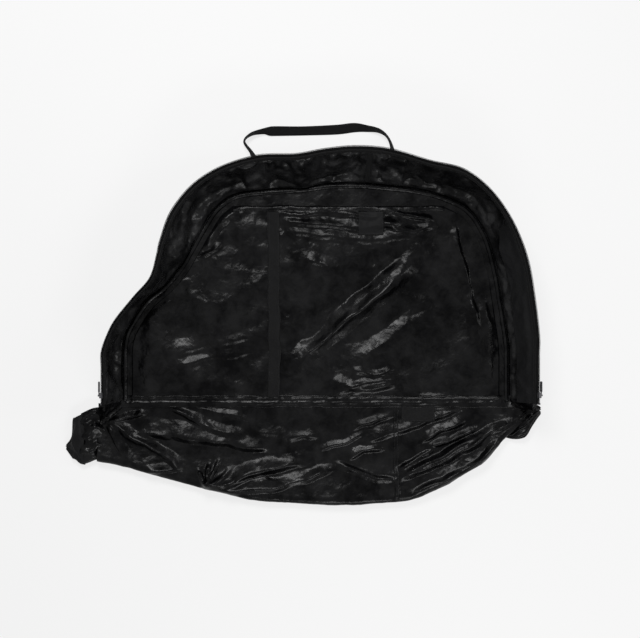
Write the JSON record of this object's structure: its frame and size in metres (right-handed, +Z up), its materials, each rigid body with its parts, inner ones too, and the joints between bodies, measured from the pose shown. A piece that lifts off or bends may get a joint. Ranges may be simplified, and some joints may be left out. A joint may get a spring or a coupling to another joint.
{
  "type": "soft travel bag",
  "caption": "Soft zip-up travel bag lying open on its back: a cloth tray with leaning walls, a flat base in front and a webbing carry handle behind.",
  "frame": {"origin": "on the surface the bag lies on, under the middle of its box", "axes": "+X along the bag to the right, +Y from the base to the carry handle, +Z up from the surface it lies on"},
  "size_m": [1.2028, 0.9716, 0.1367],
  "materials": {
    "glossy_cloth": "thin nylon with a glossy coating, black",
    "matte_cloth": "plain weave nylon, uncoated side, black",
    "webbing": "woven webbing and tape, matt black",
    "zip_nylon": "nylon zip coil, black",
    "zip_metal": "die-cast zip parts, black enamel"
  },
  "bodies": {
    "back_half": {"back_panel": "matte_cloth", "back_piping": "webbing", "floor_seam_binding": "webbing", "gusset_left": "glossy_cloth", "gusset_right": "glossy_cloth", "gusset_joint_tape": "webbing", "back_zip_tape": "webbing", "back_zip_coil": "zip_nylon", "rim_binding": "webbing", "zip_stop_left": "zip_metal", "zip_stop_right": "zip_metal", "storm_flap": "matte_cloth", "pocket_panel": "glossy_cloth", "pocket_edge_binding": "webbing", "centre_webbing": "webbing", "blank_patch": "matte_cloth", "handle_patch_left": "webbing", "handle_patch_right": "webbing"},
    "bag_base": {"base_panel": "glossy_cloth", "front_fold": "glossy_cloth", "base_seam_binding": "webbing", "base_tab": "webbing", "corner_gather_left": "glossy_cloth", "end_patch_left": "matte_cloth", "corner_gather_right": "glossy_cloth"},
    "front_half": {"front_panel": "matte_cloth", "front_piping": "webbing", "front_gusset": "glossy_cloth", "front_zip_tape": "webbing", "front_zip_coil": "zip_nylon"},
    "handle": {"handle_webbing": "webbing"},
    "slider_left": {"zip_slider_left": "zip_metal"},
    "pull_left": {"zip_pull_left": "zip_metal"},
    "slider_right": {"zip_slider_right": "zip_metal"},
    "pull_right": {"zip_pull_right": "zip_metal"}
  },
  "joints": [
    {"name": "base_lift", "type": "hinge", "parent": "back_half", "child": "bag_base", "pos_m": [0, -0.22608, 0.0089], "axis": [-1, 0, 0], "range_deg": [0, 90]},
    {"name": "front_turn", "type": "hinge", "parent": "bag_base", "child": "front_half", "pos_m": [0, -0.47184, 0.0143], "axis": [-1, 0, 0], "range_deg": [0, 279]},
    {"name": "handle_swing", "type": "hinge", "parent": "back_half", "child": "handle", "pos_m": [-0.1197, 0.3512, 0.0536], "axis": [0.9992, 0.0388, -0.0033], "range_deg": [0, 55]},
    {"name": "slide_left", "type": "slide", "parent": "back_half", "child": "slider_left", "axis": [0, 1, 0], "range_m": [0, 0.06]},
    {"name": "flip_left", "type": "hinge", "parent": "slider_left", "child": "pull_left", "pos_m": [-0.4952, -0.2001, 0.1312], "axis": [-0.1908, 0, 0.9816], "range_deg": [0, 170]},
    {"name": "slide_right", "type": "slide", "parent": "back_half", "child": "slider_right", "axis": [0, 1, 0], "range_m": [0, 0.06]},
    {"name": "flip_right", "type": "hinge", "parent": "slider_right", "child": "pull_right", "pos_m": [0.5816, -0.2001, 0.1224], "axis": [-0.3907, 0, -0.9205], "range_deg": [0, 170]}
  ],
  "couplings": [
    {"joint": "front_turn", "follows": "base_lift", "ratio": 3.1}
  ]
}
